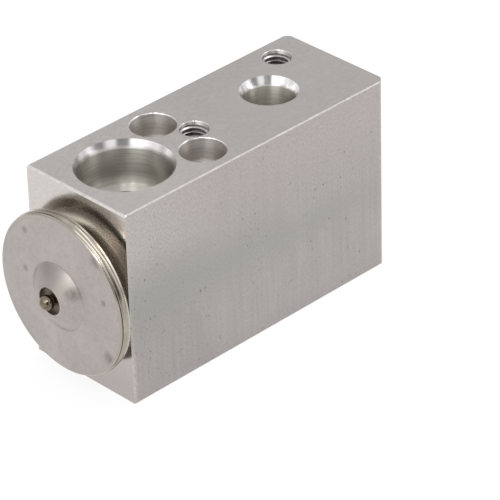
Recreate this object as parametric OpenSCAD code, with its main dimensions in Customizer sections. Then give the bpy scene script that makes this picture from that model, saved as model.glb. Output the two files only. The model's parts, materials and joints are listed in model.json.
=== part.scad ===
// Block type thermostatic expansion valve.
// The block rests on its evaporator face, the pipe face looks up (+Z), and the valve axis runs
// along X with the power head at the -X end. The origin is the middle of the evaporator face.

/* [Block] */
// Length of the block along the valve axis
block_l = 73; // [70:0.5:90]
// Width of the block
block_w = 28.3; // [26:0.1:34]
// Height of the block, from the evaporator face to the pipe face
block_h = 44.1; // [42:0.1:50]
// Height of the valve axis above the evaporator face
axis_h = 22.3; // [20.5:0.1:23]
// Radius of the two extruded corners at the spring end
corner_r = 2.5; // [0.5:0.1:4]
// Deburred edge along the long sides of the sawn faces
edge_bevel = 0.25; // [0.1:0.05:0.8]
// Bevel round the milled end face that carries the power head
head_bevel = 0.45; // [0.1:0.05:1]

/* [Suction line] */
// Distance of the suction ports from the head end of the block
suction_from_end = 13.2; // [12.6:0.1:14]
// Bore of the suction ports
suction_bore_d = 18.9; // [16:0.1:19.5]
// Diameter of the suction port's mouth at the face
suction_mouth_d = 20.5; // [19.6:0.1:21.5]
// Diameter of the passage that joins the two suction ports
suction_pass_d = 13; // [12.2:0.2:14]

/* [Liquid line] */
// Distance of the liquid port from the head end
liquid_from_end = 53.4; // [52.6:0.1:55.5]
// Bore of the liquid port
liquid_bore_d = 10.5; // [8:0.1:11.5]
// Diameter of the liquid port's mouth at the face
liquid_mouth_d = 12.4; // [11.6:0.1:14]
// Drilling from the liquid port down to the valve chamber
liquid_drill_d = 4.4; // [3:0.1:5.2]
// Distance of the feed port to the evaporator from the head end
feed_from_end = 44.5; // [43.5:0.1:44.8]
// Bore of the feed port
feed_bore_d = 12.6; // [10:0.1:14]
// Diameter of the feed port's mouth at the face
feed_mouth_d = 14.3; // [14.1:0.1:16]
// Passage from the feed port up to the orifice
feed_pass_d = 7; // [5:0.1:7.4]

/* [All ports] */
// Depth of a port's bore from its face
port_depth = 10; // [7:0.1:11]
// Depth of the tapered mouth that squeezes the sealing ring
mouth_depth = 1.9; // [1:0.1:3]
// How far the feed passage runs past the orifice
feed_past = 0.8; // [0.5:0.1:2]

/* [Fixing holes] */
// Distance of the two bolt holes from the head end
bolt_from_end = 27.7; // [26.5:0.1:29]
// Distance between the two bolt holes
bolt_spacing = 14.3; // [13.6:0.1:16]
// Clearance hole of a bolt
bolt_hole_d = 5.5; // [4.5:0.1:6]
// Counterbore for the bolt's head
bolt_head_d = 9.5; // [8:0.1:10.4]
// Depth of the counterbore
bolt_head_depth = 5.05; // [3:0.05:8]
// Thread diameter of the two stud holes
stud_d = 6; // [4:0.5:6]
// Depth of thread in a stud hole
stud_depth = 14; // [8:0.5:14]
// Distance of the middle stud hole from the head end
mid_stud_from_end = 32.3; // [32:0.1:36]
// Distance of the side stud hole from the head end
side_stud_from_end = 64.3; // [63:0.1:66]
// Side stud hole, off the middle line
side_stud_y = 8.6; // [7.5:0.1:9.4]
// Small bevel at the mouths of the bolt and stud holes
hole_bevel = 0.15; // [0.05:0.05:0.4]

/* [Power head] */
// Diameter of the power head's rim
head_d = 35; // [33.4:0.2:40]
// Gap between the end face and the rim's back
rim_gap = 2.9; // [2.6:0.1:4]
// Thickness of the pressed sheets at the rim
sheet_t = 1; // [0.6:0.1:1]
// Width of the ring in which the two covers clamp the diaphragm
clamp_w = 2.7; // [2.2:0.1:3]
// Width of the lower cover's flat flange
flange_w = 2.1; // [1.6:0.1:2.4]
// How far the cover's face stands in front of its own flange at the shoulder
shoulder_h = 1.3; // [1.2:0.05:2]
// Radius of the cover's rounded shoulder
shoulder_r = 0.5; // [0.4:0.1:1.1]
// Rise of the cover's face from the shoulder to the dome
face_rise = 0.5; // [0.1:0.1:1.5]
// Diameter of the dome's foot
dome_d = 14.8; // [13.4:0.2:15.4]
// Radius of the dome's sphere
dome_r = 10.8; // [9.5:0.1:12]
// Diameter of the charging recess in the dome
recess_d = 5.9; // [5:0.1:6.6]
// Depth of the charging recess
recess_depth = 1.05; // [0.8:0.05:1.4]
// Diameter of the charging hole under the ball
charge_hole_d = 1.4; // [0.8:0.1:2]
// Diameter of the ball that seals the charge
charge_ball_d = 3.2; // [2.6:0.1:4]
// Thread diameter of the neck
neck_d = 19; // [18:0.5:20]
// Length of the neck inside the block
neck_depth = 5.2; // [4:0.1:5.3]
// Bore of the neck
neck_bore_d = 15.2; // [14:0.2:15.4]
// Hole from the neck into the suction line
link_d = 11.6; // [9:0.1:12.6]
// Foot of the dished lower cover on the end face
foot_d = 24; // [23.8:0.2:25]
// Thickness of the diaphragm
film_t = 0.2; // [0.1:0.05:0.25]
// Height of the diaphragm's waves
wave_h = 0.28; // [0.05:0.01:0.3]
// Number of waves
wave_count = 2; // [1:1:3]
// Diameter inside the last wave, where the diaphragm is flat
wave_inner_d = 17; // [12:0.5:20]

/* [Stopper and sensing rod] */
// Diameter of the disc under the diaphragm
stopper_d = 21; // [17:0.5:21.5]
// Thickness of that disc
stopper_t = 1.4; // [1:0.1:1.6]
// Diameter of the stopper's hub
hub_d = 12; // [9:0.5:13]
// How far the hub reaches into the block
hub_reach = 3; // [1:0.1:3.5]
// Diameter of the sensing rod
rod_d = 5.6; // [4:0.1:5.8]
// Length of rod held in the hub
rod_grip = 3; // [2:0.1:4]
// How far the rod reaches past the suction line's middle
rod_reach = 14.3; // [12.6:0.1:15]
// Diameter of the push pin
pin_d = 2; // [1.2:0.1:2.4]
// Length of push pin held in the rod
pin_grip = 1.5; // [0.5:0.1:3]
// Travel of the valve from shut to wide open
lift = 0.8; // [0.2:0.05:0.9]

/* [Seals] */
// Width of the head gasket's groove
gasket_w = 2.1; // [1.2:0.1:2.2]
// Depth of the head gasket's groove
gasket_h = 1.2; // [0.8:0.1:1.6]
// Pocket for the rod's sealing ring
pocket_d = 8.6; // [8:0.1:9]
// Distance from the suction line's middle to the pocket's floor
pocket_reach = 10.5; // [10:0.1:11]
// Thickness of the retainer in front of the ring
retainer_t = 1.2; // [0.6:0.1:1.4]
// Width of the rod's sealing ring
pin_seal_w = 1.5; // [1:0.1:1.6]

/* [Valve and chamber] */
// Bore of the valve chamber
chamber_d = 12; // [11.4:0.1:12.4]
// Diameter of the orifice
orifice_d = 3; // [2.6:0.1:3.6]
// Distance from the feed passage's middle to the seat's throat
seat_reach = 5; // [4.5:0.1:5.4]
// Depth of the seat's cone
seat_h = 1.5; // [1:0.1:1.8]
// Half angle of the seat's cone
seat_angle = 45; // [40:1:50]
// Diameter of the valve ball
ball_d = 4.8; // [4.4:0.1:5.4]
// Diameter of the cup that holds the ball
cup_d = 6; // [5.6:0.1:6.4]
// Metal of the carrier behind the ball
cup_floor = 0.25; // [0.2:0.05:0.6]
// Diameter of the carrier's flange under the spring
flange_d = 8.8; // [8.6:0.1:9.2]
// Thickness of that flange
flange_t = 1.3; // [0.8:0.1:1.6]
// Length of the carrier's hub inside the spring
carrier_hub = 2.1; // [1:0.1:2.6]
// Number of legs on the damping spring
leg_count = 6; // [3:1:8]
// Width of a leg
leg_w = 1.4; // [0.8:0.1:1.8]
// Length of a leg
leg_l = 4.2; // [3:0.1:5]
// Thickness of the damping spring's sheet
leg_t = 0.3; // [0.2:0.05:0.4]
// How far a leg spreads from its bend to its tip
leg_spread = 0.6; // [0.5:0.1:0.9]

/* [Coil spring] */
// Wire of the coil spring
wire_d = 0.9; // [0.6:0.05:1]
// Diameter of the coil at the middle of its wire
coil_d = 7.2; // [7:0.1:7.6]
// Number of turns
coil_turns = 5; // [4:0.5:5.5]

/* [Adjusting screw] */
// Thread diameter of the adjusting screw
screw_d = 14; // [13.6:0.2:15]
// Length of its threaded part
screw_thread = 4.4; // [3.8:0.1:5]
// How far it lies below the end face
screw_sink = 0.9; // [0.6:0.1:1.4]
// Length of its smooth nose
nose_l = 4.2; // [4:0.1:4.6]
// Hexagon socket, across its flats
socket_af = 5; // [4:1:6]
// Depth of the socket
socket_depth = 3.6; // [2:0.1:4]
// Length of the spigot inside the spring
spigot_l = 1.6; // [0.6:0.1:2]
// Depth of the sealing ring's groove
ring_depth = 1.2; // [0.8:0.1:1.4]
// Width of the sealing ring's groove
ring_w = 1.5; // [1.2:0.1:1.7]
// Distance of that groove from the nose's end
ring_inset = 0.9; // [0.5:0.1:1.2]
// Pitch of the thread, which leaves this much room to screw it in
screw_pitch = 1; // [0.5:0.25:1]

/* [Fits] */
// Clearance all round a piece that slides or turns
run_gap = 0.05; // [0.02:0.01:0.1]
// Clearance all round a piece that is pressed, screwed or sealed in place
seat_gap = 0.02; // [0.01:0.01:0.04]
// Room past the end of a thread, and round what stands inside the coil
end_gap = 0.25; // [0.2:0.05:0.4]
// Room past the rod's end when the valve is wide open
rod_room = 0.6; // [0.3:0.1:1]

/* [Edges] */
// Chamfer of the turned pieces
chamfer = 0.4; // [0.2:0.05:0.5]
// Finer chamfer of the pin and of the screw's nose
fine_chamfer = 0.2; // [0.1:0.05:0.3]
// Lead of a thread
thread_lead = 0.5; // [0.3:0.1:0.8]
// Broken edge of the pressed sheets
edge_round = 0.15; // [0.05:0.05:0.2]

/* [Hidden] */
$fn = 96;
over = 1;                                   // how far a cutting tool runs past a face
drill_point = 0.6;                          // depth of a drill's point over its radius

// Places along X
head_x = -block_l / 2;
tail_x = block_l / 2;
suction_x = head_x + suction_from_end;
liquid_x = head_x + liquid_from_end;
feed_x = head_x + feed_from_end;
bolt_x = head_x + bolt_from_end;
mid_stud_x = head_x + mid_stud_from_end;
side_stud_x = head_x + side_stud_from_end;

// Power head, as distances in front of the end face
head_r = head_d / 2;
film_back = rim_gap + sheet_t;              // where the diaphragm lies on the lower cover
film_front = film_back + film_t;
shoulder_e = film_front + shoulder_h;
face_e = shoulder_e + face_rise;            // foot of the dome
dome_c = face_e - sqrt(pow(dome_r, 2) - pow(dome_d / 2, 2));
recess_r = recess_d / 2;
face_lean = atan2(face_rise, head_r - shoulder_r - dome_d / 2);
recess_rim = dome_c + sqrt(pow(dome_r, 2) - pow(recess_r, 2));
recess_floor = recess_rim - recess_depth;
cavity_r = head_r - clamp_w;                // inside of the clamped ring
ball_seat = sqrt(pow(charge_ball_d / 2, 2) - pow(charge_hole_d / 2, 2));
stopper_top = film_back - seat_gap;
gasket_in = neck_d / 2 + seat_gap;
gasket_out = gasket_in + gasket_w;

// Rod, pin and seat
hub_end = head_x + hub_reach;
rod_start = hub_end - rod_grip;
rod_end = suction_x + rod_reach;
pocket_floor = suction_x + pocket_reach;
throat_x = feed_x + seat_reach;
chamber_x = throat_x + seat_h;
ball_r = ball_d / 2;
ball_x = throat_x - orifice_d / 2 / tan(seat_angle) + (ball_r + run_gap) / sin(seat_angle);
pin_end = ball_x - ball_r - seat_gap / 2;
cup_front = ball_x + ball_r / 4;            // the cup's lip lies just behind the ball's middle
flange_x = ball_x + ball_r + cup_floor;
spring_x = flange_x + flange_t;

// Adjusting screw
screw_end = tail_x - screw_sink;
thread_x = screw_end - screw_thread;
nose_x = thread_x - nose_l;
spigot_x = nose_x - spigot_l;
thread_floor = thread_x - screw_pitch - end_gap;
nose_r = chamber_d / 2 - run_gap;
ring_x = nose_x + ring_inset;
ring_r = chamber_d / 2 - ring_depth;
inner_r = (coil_d - wire_d) / 2 - end_gap;  // what stands inside the coil

// Points of an arc round c, from one angle to another
function arc(c, r, from, to, n = 10) =
    [for (i = [0 : n]) let (a = from + (to - from) * i / n) c + r * [cos(a), sin(a)]];

// A distance in front of the end face becomes a place along X
function ahead(points) = [for (p = points) [p[0], head_x - p[1]]];

// Turns a profile of [radius, x] round the valve axis
module turned(points) {
    translate([0, 0, axis_h]) rotate([0, 90, 0]) rotate_extrude() polygon(points);
}

// A plain ring round the valve axis
module ring(r_in, r_out, from, to) {
    turned([[r_in, from], [r_out, from], [r_out, to], [r_in, to]]);
}

// A squeezed sealing ring, a rounded rectangle in section
module seal(r_in, r_out, from, to) {
    c = min(r_out - r_in, to - from) / 3;
    turned(concat(
        arc([r_out - c, from + c], c, -90, 0, 5),
        arc([r_out - c, to - c], c, 0, 90, 5),
        arc([r_in + c, to - c], c, 90, 180, 5),
        arc([r_in + c, from + c], c, 180, 270, 5)
    ));
}

// Plan of the extruded bar, with its two round corners at the spring end
module bar_plan() {
    w = block_w / 2;
    polygon(concat(
        [[head_x, w], [head_x, -w]],
        arc([tail_x - corner_r, -w + corner_r], corner_r, -90, 0, 12),
        arc([tail_x - corner_r, w - corner_r], corner_r, 0, 90, 12)
    ));
}

// Side view of the bar, with a bevel at the milled head end and a fine one at the other
module side_plan() {
    h = head_bevel;
    e = edge_bevel;
    polygon([
        [head_x, h], [head_x + h, 0], [tail_x - e, 0], [tail_x, e],
        [tail_x, block_h - e], [tail_x - e, block_h], [head_x + h, block_h], [head_x, block_h - h]
    ]);
}

// End view of the bar, with the fine bevels of its long edges
module end_plan() {
    w = block_w / 2;
    e = edge_bevel;
    polygon([
        [-w, e], [-w + e, 0], [w - e, 0], [w, e],
        [w, block_h - e], [w - e, block_h], [-w + e, block_h], [-w, block_h - e]
    ]);
}

module bar() {
    intersection() {
        linear_extrude(block_h) bar_plan();
        translate([0, block_w / 2 + over, 0]) rotate([90, 0, 0])
            linear_extrude(block_w + 2 * over) side_plan();
        translate([head_x - over, 0, 0]) rotate([90, 0, 90])
            linear_extrude(block_l + 2 * over) end_plan();
    }
}

// A port as its tool cuts it from the face at height 0 down: tapered mouth, then the bore
module port(bore_d, mouth_d) {
    slope = (mouth_d - bore_d) / 2 / mouth_depth;
    rotate_extrude() polygon([
        [0, -port_depth], [bore_d / 2, -port_depth], [bore_d / 2, -mouth_depth],
        [mouth_d / 2 + slope * over, over], [0, over]
    ]);
}

// A counterbored bolt hole through the whole block
module bolt_hole() {
    r = bolt_head_d / 2;
    rotate_extrude() polygon([
        [0, -block_h - over], [bolt_hole_d / 2, -block_h - over],
        [bolt_hole_d / 2, -bolt_head_depth], [r, -bolt_head_depth],
        [r, -hole_bevel], [r + hole_bevel + over, over], [0, over]
    ]);
}

// A blind stud hole at its thread's outer diameter, with a drill point and a small countersink
module stud_hole() {
    r = stud_d / 2;
    rotate_extrude() polygon([
        [0, -stud_depth - r * drill_point], [r, -stud_depth],
        [r, -hole_bevel], [r + hole_bevel + over, over], [0, over]
    ]);
}

module from_top(x, y = 0) { translate([x, y, block_h]) children(); }
module from_below(x) { translate([x, 0, 0]) mirror([0, 0, 1]) children(); }

module valve_body() {
    color("#b2aea9") difference() {
        bar();
        // suction line, straight through
        from_top(suction_x) port(suction_bore_d, suction_mouth_d);
        from_below(suction_x) port(suction_bore_d, suction_mouth_d);
        translate([suction_x, 0, port_depth / 2])
            cylinder(d = suction_pass_d, h = block_h - port_depth);
        // liquid port and its drilling, which ends on the valve axis
        from_top(liquid_x) port(liquid_bore_d, liquid_mouth_d);
        translate([liquid_x, 0, axis_h])
            cylinder(d = liquid_drill_d, h = block_h - axis_h - port_depth / 2);
        // feed port and its passage up to the orifice
        from_below(feed_x) port(feed_bore_d, feed_mouth_d);
        translate([feed_x, 0, port_depth / 2])
            cylinder(d = feed_pass_d, h = axis_h - port_depth / 2 + orifice_d / 2 + feed_past);
        // fixing holes
        for (s = [-1, 1]) from_top(bolt_x, s * bolt_spacing / 2) bolt_hole();
        from_top(mid_stud_x) stud_hole();
        from_top(side_stud_x, side_stud_y) stud_hole();
        // stepped bore from the head end to the feed passage
        turned([
            [0, head_x - over], [gasket_out + seat_gap, head_x - over],
            [gasket_out + seat_gap, head_x + gasket_h], [neck_d / 2 + seat_gap, head_x + gasket_h],
            [neck_d / 2 + seat_gap, head_x + neck_depth + end_gap],
            [link_d / 2, head_x + neck_depth + end_gap], [link_d / 2, suction_x],
            [pocket_d / 2, suction_x], [pocket_d / 2, pocket_floor],
            [rod_d / 2 + run_gap, pocket_floor], [rod_d / 2 + run_gap, rod_end + lift + rod_room],
            [pin_d / 2 + run_gap, rod_end + lift + rod_room], [pin_d / 2 + run_gap, feed_x],
            [0, feed_x]
        ]);
        // orifice, seat, valve chamber and the adjusting screw's thread
        turned([
            [0, feed_x], [orifice_d / 2, feed_x], [orifice_d / 2, throat_x],
            [orifice_d / 2 + seat_h * tan(seat_angle), chamber_x], [chamber_d / 2, chamber_x],
            [chamber_d / 2, thread_floor], [screw_d / 2 + run_gap, thread_floor],
            [screw_d / 2 + run_gap, tail_x - thread_lead],
            [screw_d / 2 + thread_lead + over, tail_x + over], [0, tail_x + over]
        ]);
    }
}

// Lower cover: flange, dish, foot on the end face and threaded neck
module head_housing() {
    foot_r = foot_d / 2;
    dish_r = head_r - flange_w;
    lean = atan2(rim_gap, dish_r - foot_r);
    turn = sheet_t * tan(lean / 2);         // step from a bend's outer corner to its inner one
    bore_r = neck_bore_d / 2;
    color("#a89f92") turned(ahead([
        [bore_r, -neck_depth], [neck_d / 2 - thread_lead, -neck_depth],
        [neck_d / 2, thread_lead - neck_depth], [neck_d / 2, 0], [foot_r, 0],
        [dish_r, rim_gap], [head_r, rim_gap], [head_r, film_back],
        [dish_r - turn, film_back], [foot_r - turn, sheet_t],
        [bore_r + thread_lead, sheet_t], [bore_r, sheet_t - thread_lead]
    ]));
}

// Upper cover: flange, round shoulder, shallow cone, dome and charging recess
module head_cover() {
    thinned = 0.9 * sheet_t;                // the dome's sheet, stretched by the press
    top_in = dome_r - thinned;
    face_in = face_e - sheet_t;
    pad_r = recess_r + thinned;
    pad_e = recess_floor - thinned;
    foot_in = acos(sqrt(pow(top_in, 2) - pow(face_in - dome_c, 2)) / top_in);
    corner_in = cavity_r - shoulder_r / 3;
    color("#b5afa8") turned(ahead(concat(
        [[cavity_r, film_front], [head_r, film_front]],
        arc([head_r - shoulder_r, shoulder_e - shoulder_r], shoulder_r, 0, 90 - face_lean, 8),
        arc([0, dome_c], dome_r, acos(dome_d / 2 / dome_r), acos((recess_r + edge_round) / dome_r)),
        [[recess_r, recess_rim - edge_round], [recess_r, recess_floor]],
        [[charge_hole_d / 2, recess_floor], [charge_hole_d / 2, pad_e], [pad_r, pad_e]],
        arc([0, dome_c], top_in, acos(pad_r / top_in), foot_in, 8),
        [[corner_in, shoulder_e - sheet_t + (head_r - corner_in) * tan(face_lean)]]
    )));
}

// Height of the diaphragm's back at a radius
function film(r) =
    r > cavity_r || r < wave_inner_d / 2 ? film_back :
    film_back + wave_h / 2 * (1 - cos(360 * wave_count * (cavity_r - r) / (cavity_r - wave_inner_d / 2)));

module diaphragm() {
    steps = 12 * wave_count;
    r_in = wave_inner_d / 2;
    radii = [for (i = [0 : steps]) cavity_r + (r_in - cavity_r) * i / steps];
    edge = head_r - edge_round;
    color("#c9b27c") turned(ahead(concat(
        [[0, film_back], [0, film_front]],
        [for (i = [steps : -1 : 0]) [radii[i], film(radii[i]) + film_t]],
        [[edge, film_front], [edge, film_back]],
        [for (r = radii) [r, film(r)]]
    )));
}

module charge_ball() {
    color("#8d8478") translate([head_x - recess_floor - ball_seat - seat_gap, 0, axis_h])
        sphere(d = charge_ball_d);
}

module head_gasket() {
    color("#26282a") seal(gasket_in + seat_gap, gasket_out, head_x + seat_gap, head_x + gasket_h);
}

// Disc under the diaphragm, with a hub that carries the rod
module diaphragm_stopper() {
    top = head_x - stopper_top;
    color("#bcb6ae") turned([
        [0, top], [stopper_d / 2 - chamfer, top], [stopper_d / 2, top + chamfer],
        [stopper_d / 2, top + stopper_t], [hub_d / 2, top + stopper_t],
        [hub_d / 2, hub_end - chamfer], [hub_d / 2 - chamfer, hub_end],
        [rod_d / 2 + seat_gap, hub_end],
        [rod_d / 2 + seat_gap, rod_start - seat_gap], [0, rod_start - seat_gap]
    ]);
}

module sensing_rod() {
    r = rod_d / 2;
    socket_x = rod_end - pin_grip;
    color("#c4c1bc") turned([
        [0, rod_start], [r - chamfer, rod_start], [r, rod_start + chamfer],
        [r, rod_end - chamfer], [r - chamfer, rod_end], [pin_d / 2 + seat_gap, rod_end],
        [pin_d / 2 + seat_gap, socket_x], [0, socket_x]
    ]);
}

module push_pin() {
    start = rod_end - pin_grip + seat_gap;
    color("#a7a9ab") turned([
        [0, start], [pin_d / 2, start], [pin_d / 2, pin_end - fine_chamfer],
        [pin_d / 2 - fine_chamfer, pin_end], [0, pin_end]
    ]);
}

module pin_seal() {
    color("#26282a") seal(rod_d / 2 + seat_gap, pocket_d / 2 - seat_gap,
        pocket_floor - pin_seal_w - seat_gap, pocket_floor - seat_gap);
}

// Pressed ring that keeps the seal in its pocket
module pin_seal_retainer() {
    back = pocket_floor - pin_seal_w - 2 * seat_gap;
    color("#9c9a96") ring(rod_d / 2 + end_gap, pocket_d / 2 - seat_gap, back - retainer_t, back);
}

module valve_ball() {
    color("#d0d0d0") translate([ball_x, 0, axis_h]) sphere(d = ball_d);
}

// Cup for the ball, flange for the spring and a hub inside it
module ball_carrier() {
    hub_end = spring_x + carrier_hub;
    color("#b9b4a6") difference() {
        turned([
            [0, cup_front], [cup_d / 2, cup_front], [cup_d / 2, flange_x], [flange_d / 2, flange_x],
            [flange_d / 2, spring_x], [inner_r, spring_x], [inner_r, hub_end - chamfer],
            [inner_r - chamfer, hub_end], [0, hub_end]
        ]);
        translate([ball_x, 0, axis_h]) sphere(r = ball_r + seat_gap);
    }
}

// Sheet ring with bent legs that rub along the chamber wall
module damping_spring() {
    front = flange_x - seat_gap - leg_t;
    tip = sqrt(pow(chamber_d / 2 - run_gap, 2) - pow(leg_w / 2, 2));
    bend = tip - leg_spread;
    rim = bend - leg_t;
    root = rim - leg_t;
    color("#b0b2b3") union() {
        ring(cup_d / 2 + seat_gap, rim, front, front + leg_t);
        for (i = [0 : leg_count - 1]) translate([0, 0, axis_h]) rotate([i * 360 / leg_count, 0, 0])
            rotate([90, 0, 0]) translate([0, 0, -leg_w / 2]) linear_extrude(leg_w) polygon([
                [front, root], [front, bend + leg_t], [front + leg_l, tip],
                [front + leg_l, tip - leg_t], [front + leg_t, bend], [front + leg_t, root]
            ]);
    }
}

// Centre line of the coil: the end turns lie close, the rest spread evenly
function coil_x(turn) =
    let (span = nose_x - spring_x - wire_d - 2 * seat_gap, closed = wire_d + run_gap)
    spring_x + wire_d / 2 + seat_gap + (
        turn < 1 ? closed * turn :
        turn > coil_turns - 1 ? span - closed * (coil_turns - turn) :
        closed + (span - 2 * closed) * (turn - 1) / (coil_turns - 2)
    );

module valve_spring() {
    steps = 24;                             // rings a turn
    sides = 8;
    count = round(coil_turns * steps);
    points = [for (i = [0 : count], k = [0 : sides - 1])
        let (t = i / steps, a = 360 * t, b = 360 * k / sides, r = coil_d / 2 + wire_d / 2 * cos(b))
        [coil_x(t) + wire_d / 2 * sin(b), r * cos(a), axis_h + r * sin(a)]
    ];
    skin = [for (i = [0 : count - 1], k = [0 : sides - 1]) let (m = (k + 1) % sides)
        [i * sides + k, i * sides + m, (i + 1) * sides + m, (i + 1) * sides + k]
    ];
    first = [for (k = [sides - 1 : -1 : 0]) k];
    last = [for (k = [0 : sides - 1]) count * sides + k];
    color("#8f9294") polyhedron(points, concat([first, last], skin), convexity = 10);
}

// Screw plug: spigot in the spring, grooved nose in the chamber, thread and hexagon socket
module adjusting_screw() {
    color("#b7ad8f") difference() {
        turned([
            [0, spigot_x], [inner_r - chamfer, spigot_x], [inner_r, spigot_x + chamfer],
            [inner_r, nose_x], [nose_r - fine_chamfer, nose_x], [nose_r, nose_x + fine_chamfer],
            [nose_r, ring_x], [ring_r, ring_x], [ring_r, ring_x + ring_w],
            [nose_r, ring_x + ring_w], [nose_r, thread_x], [screw_d / 2, thread_x],
            [screw_d / 2, screw_end - thread_lead], [screw_d / 2 - thread_lead, screw_end],
            [0, screw_end]
        ]);
        translate([screw_end - socket_depth, 0, axis_h]) rotate([0, 90, 0])
            cylinder(d = socket_af / cos(30), h = socket_depth + over, $fn = 6);
    }
}

module adjusting_screw_seal() {
    color("#26282a") seal(ring_r + seat_gap, chamber_d / 2 - seat_gap,
        ring_x + seat_gap, ring_x + ring_w - seat_gap);
}

valve_body();
head_housing();
head_cover();
diaphragm();
charge_ball();
head_gasket();
diaphragm_stopper();
sensing_rod();
push_pin();
pin_seal();
pin_seal_retainer();
valve_ball();
ball_carrier();
damping_spring();
valve_spring();
adjusting_screw();
adjusting_screw_seal();
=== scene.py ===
"""The looks of a block type expansion valve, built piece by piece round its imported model."""

import json
import math

import bmesh
import bpy
from mathutils import Matrix, Vector


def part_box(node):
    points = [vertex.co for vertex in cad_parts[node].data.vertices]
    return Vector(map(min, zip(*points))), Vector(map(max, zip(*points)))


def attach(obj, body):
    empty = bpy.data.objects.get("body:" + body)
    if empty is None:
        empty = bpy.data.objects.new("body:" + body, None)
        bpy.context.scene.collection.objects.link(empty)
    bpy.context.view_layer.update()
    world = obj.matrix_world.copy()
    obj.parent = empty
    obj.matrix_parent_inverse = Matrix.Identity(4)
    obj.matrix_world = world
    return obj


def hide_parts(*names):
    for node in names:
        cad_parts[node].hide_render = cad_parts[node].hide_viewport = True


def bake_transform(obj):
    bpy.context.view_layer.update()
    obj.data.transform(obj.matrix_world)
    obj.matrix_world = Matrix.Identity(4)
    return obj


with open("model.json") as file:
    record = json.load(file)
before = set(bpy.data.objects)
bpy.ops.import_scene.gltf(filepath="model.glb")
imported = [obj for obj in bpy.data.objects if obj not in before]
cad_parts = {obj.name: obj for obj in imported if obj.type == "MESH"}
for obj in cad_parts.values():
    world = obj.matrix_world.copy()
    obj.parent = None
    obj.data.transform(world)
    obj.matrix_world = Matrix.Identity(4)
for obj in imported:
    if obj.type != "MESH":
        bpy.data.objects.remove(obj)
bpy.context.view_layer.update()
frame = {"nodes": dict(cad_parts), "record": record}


# Valve block
# A length of extruded aluminium bar, sawn off at both ends. The sawn face with the pipe ports and
# the end that carries the power head are milled; the long sides keep the streaks of the die.
MM = 0.001
mounts = {m["name"]: m for m in frame["record"]["mounts"]}
block_low, block_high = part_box("valve_body")
axis_z = sum(c.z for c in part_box("sensing_rod")) / 2


def bore_of(name):
    """The middle and the radius of an upright hole, from its mount."""
    mount = mounts[name]
    return Vector(mount["pos_m"]), mount["dims"]["r_mm"] * MM


def node(tree, kind, values=None, **settings):
    """Adds a node. values maps its inputs to numbers, colours or other nodes' outputs."""
    made = tree.nodes.new(kind)
    for key, value in settings.items():
        setattr(made, key, value)
    for key, value in (values or {}).items():
        if isinstance(value, bpy.types.NodeSocket):
            tree.links.new(value, made.inputs[key])
        else:
            made.inputs[key].default_value = value
    return made


def bare_metal(name, colour, roughness, **constants):
    """A bare metal's material, with its tree and its shader."""
    finish = bpy.data.materials.new(name)
    finish.use_nodes = True
    finish.diffuse_color = (*colour, 1)
    shader = finish.node_tree.nodes["Principled BSDF"]
    shader.inputs["Base Color"].default_value = (*colour, 1)
    shader.inputs["Metallic"].default_value = 1
    shader.inputs["Roughness"].default_value = roughness
    for key, value in constants.items():
        shader.inputs[key.replace("_", " ").title()].default_value = value
    return finish, finish.node_tree, shader


def place(tree, stretch=(1, 1, 1), shift=(0, 0, 0)):
    """A point of the piece, moved and stretched so that one unit is one cell of a pattern."""
    where = node(tree, "ShaderNodeTexCoord")
    return node(tree, "ShaderNodeMapping", {
        "Vector": where.outputs["Object"], "Scale": stretch, "Location": shift}).outputs[0]


def noise(tree, stretch, detail=2.0, shift=(0, 0, 0)):
    """Soft noise from 0 to 1, with cells of 1 / stretch metres."""
    return node(tree, "ShaderNodeTexNoise", {
        "Vector": place(tree, stretch, shift), "Scale": 1.0, "Detail": detail}).outputs["Fac"]


def ramp(tree, value, low, high, to_low=0.0, to_high=1.0):
    """Maps a value from low..high to another span, and keeps it inside that span."""
    return node(tree, "ShaderNodeMapRange", {
        "Value": value, "From Min": low, "From Max": high,
        "To Min": to_low, "To Max": to_high}).outputs[0]


def sums(tree, kind, first, second):
    """One step of arithmetic on two values."""
    return node(tree, "ShaderNodeMath", {0: first, 1: second}, operation=kind).outputs[0]


def tint(tree, share, low, high):
    """Goes from one colour to another, by a share."""
    return node(tree, "ShaderNodeMix", {
        0: share, 6: (*low, 1), 7: (*high, 1)}, data_type="RGBA").outputs[2]


def stain(tree, colour, share, spot):
    """Lays a coloured mark over a colour, by its share."""
    return node(tree, "ShaderNodeMix", {
        0: share, 6: colour, 7: (*spot, 1)}, data_type="RGBA").outputs[2]


def relief(tree, shader, height, depth):
    """Gives the surface a relief of that depth in metres."""
    bump = node(tree, "ShaderNodeBump", {"Height": height, "Distance": depth, "Strength": 1.0})
    tree.links.new(bump.outputs[0], shader.inputs["Normal"])


def off(tree, value, middle):
    """How far a value is from its middle, either way."""
    return sums(tree, "ABSOLUTE", sums(tree, "SUBTRACT", value, middle), 0.0)


def coordinates(tree):
    """The x, y and z of a point of the piece, in metres."""
    apart = node(tree, "ShaderNodeSeparateXYZ", {0: node(tree, "ShaderNodeTexCoord").outputs["Object"]})
    return apart.outputs[0], apart.outputs[1], apart.outputs[2]


def joined(tree, first, second, third=0.0):
    """Puts three numbers together as one point."""
    return node(tree, "ShaderNodeCombineXYZ", {0: first, 1: second, 2: third}).outputs[0]


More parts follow.
